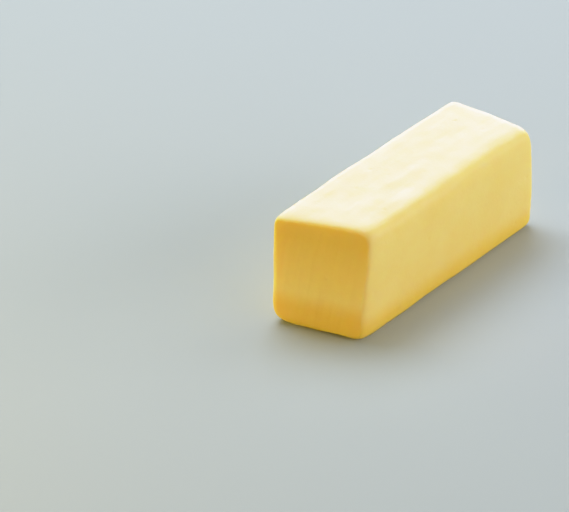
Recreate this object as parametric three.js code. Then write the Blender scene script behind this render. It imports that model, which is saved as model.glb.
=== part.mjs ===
// A stick of butter, of the long slim kind, cut across with a knife at one end.
// Millimetres, +Z up. The stick lies along X on its flat base: the cut faces -X, and the far end, still as it
// was moulded and wrapped, faces +X. Left and right are as seen facing the cut, so left is +Y.
// The origin is under the middle of the box that the stick fills, on the surface that it lies on.

import * as THREE from "three";
import { mergeVertices } from "three/addons/utils/BufferGeometryUtils.js";

// Size of the block, the length along its longest edge
const LENGTH = 94.8;
const WIDTH = 29.6;
const HEIGHT = 33.5;

// Radii of the long edges, of the edges round the moulded end and of those round the cut
const LONG_EDGE_RADIUS = { topLeft: 2.2, topRight: 3, baseLeft: 5.5, baseRight: 2.4 };
const FAR_END_RADIUS = 3.6;
const CUT_EDGE_RADIUS = 0.9;
const LEAST_RADIUS = 0.4;

// The knife turned on its way down: how far each corner of the cut stands back from the foremost one,
// and how hollow the blade left the top of the face
const CUT_SETBACK = { topLeft: 0.8, topRight: 9.6, baseLeft: 0, baseRight: 4.4 };
const CUT_HOLLOW = 0.7;

// The moulded end is domed, most at the top, about a crown left of its middle and below it,
// so its top right corner falls back furthest
const DOME_DEPTH = { across: 0.9, up: 1.2 };
const DOME_CROWN = { across: 7, up: -3 };

// Soft butter isn't true: the long faces wave along it, and the top's left edge rises towards the far end
const SIDE_WAVE = { depth: 0.1, length: 52, start: 0.6 };
const TOP_WAVE = { depth: 0.1, length: 61, start: 2.1 };
const LEFT_EDGE_RISE = 1.5;

// Cells of the skin's grid, and those of each side that half a rounded edge takes
const CELLS_ALONG = 40;
const CELLS_ROUND = 16;
const EDGE_CELLS = 3;
const FLAT_ALONG = 1 - (2 * EDGE_CELLS) / CELLS_ALONG;
const FLAT_ROUND = 1 - (2 * EDGE_CELLS) / CELLS_ROUND;

const { clamp, lerp, mapLinear } = THREE.MathUtils;
const EIGHTH_TURN = Math.PI / 4;

// How far a share from -1 to 1 has gone into the edge cells at either end of a side, from 0 to 1
function intoEdge(share, flat) {
  return clamp((Math.abs(share) - flat) / (1 - flat), 0, 1);
}

// The place on one side of the section for a share from -1 to 1. The cells of a rounded edge each turn
// through the same angle, and the others divide the flat between the edges evenly.
function placeOnSide(share, half, lowRadius, highRadius) {
  if (Math.abs(share) <= FLAT_ROUND) {
    return mapLinear(share, -FLAT_ROUND, FLAT_ROUND, lowRadius - half, half - highRadius);
  }
  const radius = share < 0 ? lowRadius : highRadius;
  const angle = EIGHTH_TURN * intoEdge(share, FLAT_ROUND);
  return Math.sign(share) * (half - radius + radius * Math.tan(angle));
}

// A point of the stick's section, drawn in by inset all round. across and up run from -1 to 1, and one of
// them is at its limit: they name a point on the section's square, and the corners are then rounded off.
function sectionPoint(across, up, inset) {
  const radius = (corner) => Math.max(LONG_EDGE_RADIUS[corner] - inset, LEAST_RADIUS);
  const halfWidth = WIDTH / 2 - inset;
  const halfHeight = HEIGHT / 2 - inset;
  const level = up > 0 ? "top" : "base";
  const side = across > 0 ? "Left" : "Right";
  const point = new THREE.Vector2(
    placeOnSide(across, halfWidth, radius(level + "Right"), radius(level + "Left")),
    placeOnSide(up, halfHeight, radius("base" + side), radius("top" + side)),
  );
  const cornerRadius = radius(level + side);
  const centre = new THREE.Vector2(
    Math.sign(across) * (halfWidth - cornerRadius),
    Math.sign(up) * (halfHeight - cornerRadius),
  );
  const outward = point.clone().sub(centre);
  const inCorner = outward.x * across > 0 && outward.y * up > 0;
  return inCorner ? outward.setLength(cornerRadius).add(centre) : point;
}

// The block before it was cut or bent, about its own middle. The shares run from -1 to 1 along, across
// and up a cube's skin. The skin turns through a quarter circle from the sides into each end.
function blockPoint(along, across, up) {
  const ring = Math.max(Math.abs(across), Math.abs(up));
  const onEnd = Math.abs(along) === 1;
  const endRadius = along < 0 ? CUT_EDGE_RADIUS : FAR_END_RADIUS;
  const turn = onEnd
    ? EIGHTH_TURN * (2 - intoEdge(ring, FLAT_ROUND))
    : EIGHTH_TURN * intoEdge(along, FLAT_ALONG);
  const inset = endRadius * (1 - Math.cos(turn));
  const section = ring > 0 ? sectionPoint(across / ring, up / ring, inset) : new THREE.Vector2();
  section.multiplyScalar(onEnd ? Math.min(ring / FLAT_ROUND, 1) : 1);

  const flatStart = CUT_EDGE_RADIUS - LENGTH / 2;
  const flatStop = LENGTH / 2 - FAR_END_RADIUS;
  const flatShare = clamp(along, -FLAT_ALONG, FLAT_ALONG);
  const onFlat = mapLinear(flatShare, -FLAT_ALONG, FLAT_ALONG, flatStart, flatStop);
  const pastFlat = Math.sign(along) * endRadius * Math.sin(turn);
  return new THREE.Vector3(onFlat + pastFlat, section.x, section.y);
}

// Slides the skin along the stick to the slanting, slightly hollow face that the knife left
function cutBack(point) {
  const leftShare = point.y / WIDTH + 0.5;
  const topShare = point.z / HEIGHT + 0.5;
  const onRight = lerp(CUT_SETBACK.baseRight, CUT_SETBACK.topRight, topShare);
  const onLeft = lerp(CUT_SETBACK.baseLeft, CUT_SETBACK.topLeft, topShare);
  const hollow = CUT_HOLLOW * topShare * (1 - (2 * leftShare - 1) ** 2);
  const nearCut = 0.5 - point.x / LENGTH;
  point.x += nearCut * (lerp(onRight, onLeft, leftShare) + hollow);
}

// Slides the skin back round the far end's crown
function domeFarEnd(point) {
  const nearFarEnd = point.x / LENGTH + 0.5;
  const topShare = point.z / HEIGHT + 0.5;
  const across = (point.y - DOME_CROWN.across) / (WIDTH / 2);
  const up = (point.z - DOME_CROWN.up) / (HEIGHT / 2);
  point.x -= nearFarEnd * (DOME_DEPTH.across * (across * topShare) ** 2 + DOME_DEPTH.up * up ** 2);
}

// Waves the long faces and tips the top. Nothing moves at the base, so it stays flat to rest on.
function makeUneven(point) {
  const aboveBase = point.z / HEIGHT + 0.5;
  const nearFarEnd = point.x / LENGTH + 0.5;
  const leftShare = point.y / WIDTH + 0.5;
  const wave = ({ depth, length, start }) => depth * Math.sin((2 * Math.PI * point.x) / length + start);
  point.y += aboveBase * wave(SIDE_WAVE);
  point.z += aboveBase * (wave(TOP_WAVE) + LEFT_EDGE_RISE * nearFarEnd * leftShare);
}

// The skin of a cube, each point moved to where the butter's skin is
function butterGeometry() {
  const cube = new THREE.BoxGeometry(2, 2, 2, CELLS_ALONG, CELLS_ROUND, CELLS_ROUND);
  cube.deleteAttribute("normal");
  cube.deleteAttribute("uv");
  const geometry = mergeVertices(cube);
  const places = geometry.getAttribute("position");
  const share = new THREE.Vector3();
  for (let i = 0; i < places.count; i += 1) {
    share.fromBufferAttribute(places, i);
    const point = blockPoint(share.x, share.y, share.z);
    cutBack(point);
    domeFarEnd(point);
    makeUneven(point);
    places.setXYZ(i, point.x, point.y, point.z);
  }
  geometry.computeBoundingBox();
  const { min, max } = geometry.boundingBox;
  geometry.translate(-(min.x + max.x) / 2, -(min.y + max.y) / 2, -min.z);
  geometry.computeVertexNormals();
  return geometry;
}

const butter = new THREE.MeshStandardMaterial({ color: 0xf1d77c, roughness: 0.45, metalness: 0 });

const stick = new THREE.Mesh(butterGeometry(), butter);
stick.name = "butter_stick";

const part = new THREE.Group();
part.add(stick);

export default part;
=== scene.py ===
# A stick of butter, cut across at one end, on a pale table under soft studio light.

import math

import bmesh
import bpy
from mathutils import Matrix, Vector


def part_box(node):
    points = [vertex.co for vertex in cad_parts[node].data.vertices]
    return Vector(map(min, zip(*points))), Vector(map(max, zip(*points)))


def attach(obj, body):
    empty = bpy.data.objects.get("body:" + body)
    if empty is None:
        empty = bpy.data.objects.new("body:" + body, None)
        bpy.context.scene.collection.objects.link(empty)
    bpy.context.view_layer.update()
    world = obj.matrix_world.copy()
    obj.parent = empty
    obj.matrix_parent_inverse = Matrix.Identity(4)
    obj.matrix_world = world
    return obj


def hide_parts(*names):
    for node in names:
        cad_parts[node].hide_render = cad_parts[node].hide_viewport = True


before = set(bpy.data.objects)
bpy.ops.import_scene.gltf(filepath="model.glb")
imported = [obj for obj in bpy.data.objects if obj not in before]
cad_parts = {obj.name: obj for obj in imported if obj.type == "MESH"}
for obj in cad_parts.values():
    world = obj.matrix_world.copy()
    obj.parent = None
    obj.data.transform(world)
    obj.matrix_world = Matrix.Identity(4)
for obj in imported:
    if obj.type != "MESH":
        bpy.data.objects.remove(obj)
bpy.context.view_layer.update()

# The stick of butter
# Cream churned, pressed in a mould, wrapped and chilled, then cut across at one end with a table knife.
# It is one soft solid: blunt along its moulded edges, crisper round the cut and flat where it lies.
MM = 0.001
LENGTH = 94.8 * MM
WIDTH = 29.6 * MM
HEIGHT = 33.5 * MM
half_length = LENGTH / 2
half_width = WIDTH / 2
half_height = HEIGHT / 2

bpy.ops.object.select_all(action="DESELECT")
bpy.ops.mesh.primitive_cube_add(size=1, location=(0, 0, half_height))
butter = bpy.context.object
butter.name = "butter"
butter.scale = (LENGTH, WIDTH, HEIGHT)
bpy.ops.object.transform_apply(location=True, rotation=True, scale=True)

# The block is cut all round at the reach that subdivision needs to round each edge to its radius, and evenly
# between. The long faces draw in over a longer way to the cut. Left is as seen facing the cut, so it is +Y.
TOP_LEFT_RADIUS = 2.2 * MM
TOP_RIGHT_RADIUS = 4.2 * MM
BASE_LEFT_RADIUS = 5.5 * MM
BASE_RIGHT_RADIUS = 2.4 * MM
FAR_END_RADIUS = 3.6 * MM
CUT_DRAW_IN = 12 * MM
REACH = 1 / 0.57
CELLS_ALONG = 8
CELLS_ROUND = 4
left_loop = (
    Vector((0, half_width - TOP_LEFT_RADIUS * REACH, HEIGHT)),
    Vector((0, half_width - BASE_LEFT_RADIUS * REACH, 0)),
)
right_loop = (
    Vector((0, TOP_RIGHT_RADIUS * REACH - half_width, HEIGHT)),
    Vector((0, BASE_RIGHT_RADIUS * REACH - half_width, 0)),
)
top_loop = (
    Vector((0, half_width, HEIGHT - TOP_LEFT_RADIUS * REACH)),
    Vector((0, -half_width, HEIGHT - TOP_RIGHT_RADIUS * REACH)),
)
base_loop = (
    Vector((0, half_width, BASE_LEFT_RADIUS * REACH)),
    Vector((0, -half_width, BASE_RIGHT_RADIUS * REACH)),
)
cut_loop = (
    Vector((CUT_DRAW_IN - half_length, half_width, 0)),
    Vector((CUT_DRAW_IN - half_length, -half_width, 0)),
)
far_loop = (
    Vector((half_length - FAR_END_RADIUS * REACH, half_width, 0)),
    Vector((half_length - FAR_END_RADIUS * REACH, -half_width, 0)),
)


def cut_evenly(first, last, along, cells):
    """Cuts the mesh in planes from first to last. Two points and the direction along give each plane."""
    for step in range(cells + 1):
        start, stop = (a.lerp(b, step / cells) for a, b in zip(first, last))
        bpy.ops.mesh.select_all(action="SELECT")
        bpy.ops.mesh.bisect(plane_co=start, plane_no=(stop - start).cross(along).normalized())


bpy.ops.object.mode_set(mode="EDIT")
cut_evenly(right_loop, left_loop, Vector((1, 0, 0)), CELLS_ROUND)
cut_evenly(base_loop, top_loop, Vector((1, 0, 0)), CELLS_ROUND)
cut_evenly(cut_loop, far_loop, Vector((0, 0, 1)), CELLS_ALONG)


def select_faces(test):
    """Selects the faces in edit mode whose normal passes a test."""
    bpy.context.tool_settings.mesh_select_mode = (False, False, True)
    mesh = bmesh.from_edit_mesh(butter.data)
    for face in mesh.faces:
        face.select_set(test(face.normal))
    bmesh.update_edit_mesh(butter.data)


def select_vertices(test):
    """Selects the vertices in edit mode whose place passes a test."""
    bpy.context.tool_settings.mesh_select_mode = (True, False, False)
    mesh = bmesh.from_edit_mesh(butter.data)
    for vertex in mesh.verts:
        vertex.select_set(test(vertex.co))
    mesh.select_flush_mode()
    bmesh.update_edit_mesh(butter.data)


# A ring inside the cut's own edge keeps that edge crisp. Its left side stands further in, where the edge is
# blunter.
FACING_CUT = -0.8
CUT_RIM = 1.6 * MM
CUT_LEFT_RIM = 2.5 * MM
TOUCH = 0.01 * MM
select_faces(lambda normal: normal.x < FACING_CUT)
bpy.ops.mesh.inset(thickness=CUT_RIM)
ring_left = half_width - CUT_RIM
select_vertices(lambda co: co.x < TOUCH - half_length and abs(co.y - ring_left) < TOUCH)
bpy.ops.transform.translate(value=(0, CUT_RIM - CUT_LEFT_RIM, 0))
bpy.ops.object.mode_set(mode="OBJECT")

# A cage round the block pushes its ends to the shape that the knife and the mould left. The knife turned on
# its way down, so the cut slants more at the top, where it is hollow too. The moulded end is domed, and its
# top rises to the left. The cage's own units are shares of the block's sizes.
CUT_SETBACK_TOP_LEFT = 0.3 * MM
CUT_SETBACK_BASE_LEFT = -0.5 * MM
CUT_SETBACK_TOP_RIGHT = 9.6 * MM
CUT_SETBACK_BASE_RIGHT = 4.4 * MM
CUT_HOLLOW = 0.7 * MM
DOME_ACROSS = 0.5 * MM
DOME_UP = 1.2 * MM
DOME_CROWN = Vector((0, 7 * MM, 13.75 * MM))
LEFT_EDGE_RISE = 1.5 * MM
CAGE_POINTS = 5

bpy.ops.object.select_all(action="DESELECT")
bpy.ops.object.add(type="LATTICE", location=(0, 0, half_height))
cage = bpy.context.object
cage.scale = (LENGTH, WIDTH, HEIGHT)
cage.data.points_u = 2
cage.data.points_v = CAGE_POINTS
cage.data.points_w = CAGE_POINTS
cage.data.interpolation_type_u = "KEY_LINEAR"
cage.data.interpolation_type_v = "KEY_LINEAR"
cage.data.interpolation_type_w = "KEY_LINEAR"
for point in cage.data.points:
    left = point.co.y + 0.5
    up = point.co.z + 0.5
    if point.co.x < 0:
        on_right = CUT_SETBACK_BASE_RIGHT * (1 - up) + CUT_SETBACK_TOP_RIGHT * up
        on_left = CUT_SETBACK_BASE_LEFT * (1 - up) + CUT_SETBACK_TOP_LEFT * up
        hollow = CUT_HOLLOW * up * (1 - (2 * left - 1) ** 2)
        point.co_deform.x += (on_right * (1 - left) + on_left * left + hollow) / LENGTH
    else:
        across = (point.co.y * WIDTH - DOME_CROWN.y) / half_width
        above = (up * HEIGHT - DOME_CROWN.z) / half_height
        point.co_deform.x -= (DOME_ACROSS * (across * up) ** 2 + DOME_UP * above**2) / LENGTH
        point.co_deform.z += up * left * LEFT_EDGE_RISE / HEIGHT

bpy.ops.object.select_all(action="DESELECT")
butter.select_set(True)
bpy.context.view_layer.objects.active = butter
caging = butter.modifiers.new("slant and dome", "LATTICE")
caging.object = cage
bpy.ops.object.modifier_apply(modifier=caging.name)
bpy.data.objects.remove(cage)

SKIN_LEVEL = 4
rounding = butter.modifiers.new("rounding", "SUBSURF")
rounding.levels = SKIN_LEVEL
rounding.render_levels = SKIN_LEVEL
bpy.ops.object.modifier_apply(modifier=rounding.name)
bpy.ops.object.shade_smooth()

# Relief: the block slumped and was pressed a little by hand, its wrapper left faint creases along it, and
# the knife left slanting drag marks down the cut. A few small air holes opened all over.
bpy.ops.object.mode_set(mode="EDIT")
select_faces(lambda normal: normal.x < FACING_CUT)
bpy.ops.object.vertex_group_assign_new()
cut_face = butter.vertex_groups.active.name
bpy.ops.object.mode_set(mode="WEIGHT_PAINT")
bpy.ops.object.vertex_group_smooth(factor=0.5, repeat=4)
bpy.ops.object.mode_set(mode="OBJECT")

clouds = bpy.data.textures.new("clouds", "CLOUDS")
clouds.noise_scale = 1
clouds.noise_depth = 1
air_holes = bpy.data.textures.new("air holes", "VORONOI")
air_holes.noise_scale = 1
air_holes.noise_intensity = 10
air_holes.use_clamp = True


def add_relief(name, pattern, grain, depth, tilt=0, **settings):
    """Moves the skin in and out by a pattern.

    Its grain, along X, Y and Z, and its depth are in millimetres, and its tilt about X is in degrees.
    """
    guide = bpy.data.objects.new(name, None)
    guide.scale = Vector(grain) * MM
    guide.rotation_euler.x = math.radians(tilt)
    bpy.context.collection.objects.link(guide)
    relief = butter.modifiers.new(name, "DISPLACE")
    relief.texture = pattern
    relief.texture_coords = "OBJECT"
    relief.texture_coords_object = guide
    relief.strength = depth * MM
    for setting, value in settings.items():
        setattr(relief, setting, value)
    bpy.ops.object.modifier_apply(modifier=relief.name)
    bpy.data.objects.remove(guide)


add_relief("slump", clouds, grain=(24, 17, 17), depth=0.7)
add_relief("pressing", clouds, grain=(8, 6, 6), depth=0.2)
add_relief("creases", clouds, grain=(30, 3, 3), depth=0.15, vertex_group=cut_face, invert_vertex_group=True)
add_relief("drag marks", clouds, grain=(9, 2, 20), depth=0.2, tilt=8, vertex_group=cut_face)
add_relief("air holes", air_holes, grain=(7, 7, 7), depth=0.2, mid_level=1)
butter.vertex_groups.clear()

# The base is pressed flat where it lies, and the stick is set where the solid is
REST_DEPTH = 0.3 * MM
bpy.ops.object.mode_set(mode="EDIT")
select_vertices(lambda co: co.z < REST_DEPTH)
bpy.ops.transform.resize(value=(1, 1, 0), center_override=(0, 0, 0))
bpy.ops.object.mode_set(mode="OBJECT")
low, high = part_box("butter_stick")
skin = [vertex.co for vertex in butter.data.vertices]
far_end = max(co.x for co in skin)
middle = (min(co.y for co in skin) + max(co.y for co in skin)) / 2
butter.location.x = high[0] - far_end
butter.location.y = (low[1] + high[1]) / 2 - middle
bpy.ops.object.transform_apply(location=True, rotation=True, scale=True)


def linear(hex_colour):
    """An sRGB colour such as f4e08a as linear red, green, blue and alpha."""
    parts = [int(hex_colour[i : i + 2], 16) / 255 for i in (0, 2, 4)]
    return [p / 12.92 if p <= 0.04045 else ((p + 0.055) / 1.055) ** 2.4 for p in parts] + [1]


def add_node(material, kind, settings=None, values=None, links=None):
    """Adds a node: settings are its own properties, values its sockets' and links what feeds a socket."""
    node = material.node_tree.nodes.new(kind)
    for name, value in (settings or {}).items():
        setattr(node, name, value)
    for name, value in (values or {}).items():
        node.inputs[name].default_value = value
    for name, (source, output) in (links or {}).items():
        material.node_tree.links.new(source.outputs[output], node.inputs[name])
    return node


# Butter: milk fat with fine water drops in it, which scatter light under the skin, so that shaded faces glow
# a deeper yellow and edges are bright. Its own tint is mottled. On the cut, painted shade deepens the colour
# towards the top and a painted reflection of a bright floor pales it lower down. Painted shade also deepens
# a band near the base, which reaches higher on the cut. The skin has a broad greasy sheen in patches, broken
# up by a fine grain.
MOTTLE_SIZE = 14 * MM
CUT_SHADE_START = -0.75
CUT_SHADE_FULL = -0.95
CUT_SHADE_HEIGHT = 28 * MM
CUT_REFLECTION_HEIGHT = 11 * MM
BASE_SHADE_HEIGHT = 9 * MM
BASE_SHADE_FULL_HEIGHT = 2.5 * MM
BASE_SHADE_RISE_ON_CUT = 3 * MM
BASE_SHADE_STRENGTH = 0.8
GRAIN_SIZE = 0.8 * MM
GRAIN_DEPTH = 0.04 * MM
PATCH_SIZE = 5 * MM
PATCH_LOW = 0.3
PATCH_HIGH = 0.7
GREASY_ROUGHNESS = 0.46
DRY_ROUGHNESS = 0.54
FAT_IOR = 1.46
SCATTER_REACH = 3 * MM
SCATTER_SHARES = (1, 0.8, 0.4)

butter_fat = bpy.data.materials.new("butter_fat")
butter_fat.use_nodes = True
butter_fat.node_tree.nodes.clear()
place = add_node(butter_fat, "ShaderNodeTexCoord")
mottle = add_node(
    butter_fat,
    "ShaderNodeTexNoise",
    values={"Scale": 1 / MOTTLE_SIZE, "Detail": 3},
    links={"Vector": (place, "Object")},
)
tint = add_node(
    butter_fat,
    "ShaderNodeMix",
    settings={"data_type": "RGBA"},
    values={"A": linear("fadc7e"), "B": linear("f8d063")},
    links={"Factor": (mottle, "Fac")},
)
facing = add_node(butter_fat, "ShaderNodeSeparateXYZ", links={"Vector": (place, "Normal")})
# Painted shade and painted reflection: the mask of faces that face the cut, which take the cut's colours.
cut_shade_mask = add_node(
    butter_fat,
    "ShaderNodeMapRange",
    settings={"interpolation_type": "SMOOTHSTEP"},
    values={"From Min": CUT_SHADE_START, "From Max": CUT_SHADE_FULL, "To Min": 0, "To Max": 1},
    links={"Value": (facing, "X")},
)
height = add_node(butter_fat, "ShaderNodeSeparateXYZ", links={"Vector": (place, "Object")})
cut_shade_to_reflection = add_node(
    butter_fat,
    "ShaderNodeMapRange",
    values={"From Min": CUT_SHADE_HEIGHT, "From Max": CUT_REFLECTION_HEIGHT, "To Min": 0, "To Max": 1},
    links={"Value": (height, "Z")},
)
# Painted shade deepens the cut at its top; a painted reflection of a bright floor pales it lower down.
painted_cut_shade_and_reflection = add_node(
    butter_fat,
    "ShaderNodeMix",
    settings={"data_type": "RGBA"},
    values={"A": linear("eecb4a"), "B": linear("fade7c")},
    links={"Factor": (cut_shade_to_reflection, "Result")},
)
tint_with_cut_shade = add_node(
    butter_fat,
    "ShaderNodeMix",
    settings={"data_type": "RGBA"},
    links={"Factor": (cut_shade_mask, "Result"), "A": (tint, "Result"), "B": (painted_cut_shade_and_reflection, "Result")},
)
# Painted shade: a deeper band near the base, reaching higher on the cut.
base_shade_level = add_node(
    butter_fat,
    "ShaderNodeMath",
    settings={"operation": "MULTIPLY_ADD"},
    values={1: -BASE_SHADE_RISE_ON_CUT},
    links={0: (cut_shade_mask, "Result"), 2: (height, "Z")},
)
base_shade = add_node(
    butter_fat,
    "ShaderNodeMapRange",
    settings={"interpolation_type": "SMOOTHSTEP"},
    values={"From Min": BASE_SHADE_HEIGHT, "From Max": BASE_SHADE_FULL_HEIGHT, "To Min": 0, "To Max": BASE_SHADE_STRENGTH},
    links={"Value": (base_shade_level, "Value")},
)
# The painted shade of the base band is mixed into the colour here.
colour_with_painted_shade = add_node(
    butter_fat,
    "ShaderNodeMix",
    settings={"data_type": "RGBA"},
    values={"B": linear("efc63a")},
    links={"Factor": (base_shade, "Result"), "A": (tint_with_cut_shade, "Result")},
)
grain = add_node(
    butter_fat,
    "ShaderNodeTexNoise",
    values={"Scale": 1 / GRAIN_SIZE, "Detail": 2},
    links={"Vector": (place, "Object")},
)
fine_skin = add_node(
    butter_fat,
    "ShaderNodeBump",
    values={"Distance": GRAIN_DEPTH},
    links={"Height": (grain, "Fac")},
)
greasy_patches = add_node(
    butter_fat,
    "ShaderNodeTexNoise",
    values={"Scale": 1 / PATCH_SIZE, "Detail": 2},
    links={"Vector": (place, "Object")},
)
sheen = add_node(
    butter_fat,
    "ShaderNodeMapRange",
    values={
        "From Min": PATCH_LOW,
        "From Max": PATCH_HIGH,
        "To Min": GREASY_ROUGHNESS,
        "To Max": DRY_ROUGHNESS,
    },
    links={"Value": (greasy_patches, "Fac")},
)
shader = add_node(
    butter_fat,
    "ShaderNodeBsdfPrincipled",
    values={
        "IOR": FAT_IOR,
        "Subsurface Weight": 1,
        "Subsurface Radius": SCATTER_SHARES,
        "Subsurface Scale": SCATTER_REACH,
    },
    links={
        "Base Color": (colour_with_painted_shade, "Result"),
        "Roughness": (sheen, "Result"),
        "Normal": (fine_skin, "Normal"),
    },
)
add_node(butter_fat, "ShaderNodeOutputMaterial", links={"Surface": (shader, "BSDF")})
butter.data.materials.append(butter_fat)
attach(butter, "root")
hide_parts("butter_stick")

# The table
# A pale, plain top in matt paint, which the stick lies on. It is wide enough to fill every view, and a hair
# below the stick's base, so that the two never share a surface.
TABLE_SIDE = 6
TABLE_GAP = 0.05 * MM
bpy.ops.object.select_all(action="DESELECT")
bpy.ops.mesh.primitive_plane_add(size=TABLE_SIDE, location=(0, 0, -TABLE_GAP))
table = bpy.context.object
table.name = "table"
matt_paint = bpy.data.materials.new("matt_paint")
matt_paint.use_nodes = True
paint = matt_paint.node_tree.nodes["Principled BSDF"].inputs
paint["Base Color"].default_value = linear("b8c2ba")
paint["Roughness"].default_value = 0.9
paint["Specular IOR Level"].default_value = 0
table.data.materials.append(matt_paint)

# Light
# A large softbox high behind the stick, weaker ones off its far end and its right side, and two yellow ones
# low at its left, in a dark room. Three more, two behind it and one in front, only lay a sheen on it.
# Bright parts roll off softly towards white, as on film.


def add_softbox(name, azimuth, elevation, size, power, colour, distance=1.0, sheen_only=False):
    """Adds a rectangular area light that faces the stick from an azimuth and elevation in degrees.

    Azimuth 0 is square to the stick's right side and 90 to its moulded end. Lengths are in metres.
    """
    light = bpy.data.lights.new(name, "AREA")
    light.shape = "RECTANGLE"
    light.size, light.size_y = size
    light.energy = power
    light.color = linear(colour)[:3]
    softbox = bpy.data.objects.new(name, light)
    softbox.visible_diffuse = not sheen_only
    bpy.context.collection.objects.link(softbox)
    a = math.radians(azimuth)
    e = math.radians(elevation)
    back = Vector((math.sin(a) * math.cos(e), -math.cos(a) * math.cos(e), math.sin(e)))
    softbox.location = Vector((0, 0, half_height)) + back * distance
    softbox.rotation_euler = back.to_track_quat("Z", "Y").to_euler()


add_softbox("high light", 150, 58, size=(0.9, 0.6), power=12, colour="e2e6ff")
add_softbox("edge light", 75, 38, size=(0.6, 0.5), power=2, colour="f0eeff")
add_softbox("right light", 36, 14, size=(0.7, 0.4), power=5.4, colour="eee8f2")
add_softbox("side light", 0, 22, size=(0.9, 0.5), power=3.6, colour="fbf3f4")
add_softbox("left light", -122, 10, size=(0.3, 0.2), power=1.38, colour="ffda6c", distance=0.5)
add_softbox("rim light", -168, 10, size=(0.8, 0.3), power=2.7, colour="f4ffc0")
add_softbox("sheen light", 122, 22, size=(0.9, 0.55), power=16.5, colour="ecebff", sheen_only=True)
add_softbox("low sheen light", 118, 6, size=(0.9, 0.18), power=6, colour="ecebff", sheen_only=True)
add_softbox("front sheen light", -58, 22, size=(0.9, 0.55), power=7, colour="fff2d8", sheen_only=True)

ROOM_STRENGTH = 0.02
room = bpy.data.worlds.new("room")
bpy.context.scene.world = room
room.use_nodes = True
room.node_tree.nodes["Background"].inputs["Color"].default_value = linear("ffffff")
room.node_tree.nodes["Background"].inputs["Strength"].default_value = ROOM_STRENGTH

FILM_KNEE = 0.6
FILM_LIMIT = 4
FILM_STEPS = 40
film = bpy.context.scene.view_settings
film.view_transform = "Standard"
film.use_curve_mapping = True
film.curve_mapping.white_level = [FILM_LIMIT] * 3
roll_off = film.curve_mapping.curves[3]
above_knee = 1 - FILM_KNEE
for step in range(1, FILM_STEPS):
    brightness = FILM_KNEE + (FILM_LIMIT - FILM_KNEE) * (step - 1) / FILM_STEPS
    shown = 1 - above_knee * math.exp((FILM_KNEE - brightness) / above_knee)
    roll_off.points.new(brightness / FILM_LIMIT, shown)
for point in roll_off.points:
    point.handle_type = "VECTOR"
film.curve_mapping.update()

# Camera
# A long lens at the photograph's angle, about a metre away. It looks past the stick's middle by the aim
# values, so that the stick stands in the frame where the photograph has it.
VIEW_AZIMUTH = math.radians(-53.6)
VIEW_ELEVATION = math.radians(28.5)
VIEW_DISTANCE = 1014.3 * MM
AIM_RIGHT = -35.81 * MM
AIM_UP = 4.18 * MM
SENSOR_WIDTH = 36
FOCAL_PIXELS = 3437
PICTURE_WIDTH = 569

lens = bpy.data.cameras.new("camera")
lens.sensor_width = SENSOR_WIDTH
lens.lens = SENSOR_WIDTH * FOCAL_PIXELS / PICTURE_WIDTH
camera = bpy.data.objects.new("camera", lens)
bpy.context.collection.objects.link(camera)
camera.rotation_euler = (math.pi / 2 - VIEW_ELEVATION, 0, VIEW_AZIMUTH)
camera.location = camera.rotation_euler.to_matrix() @ Vector((AIM_RIGHT, AIM_UP, VIEW_DISTANCE))
bpy.context.scene.camera = camera
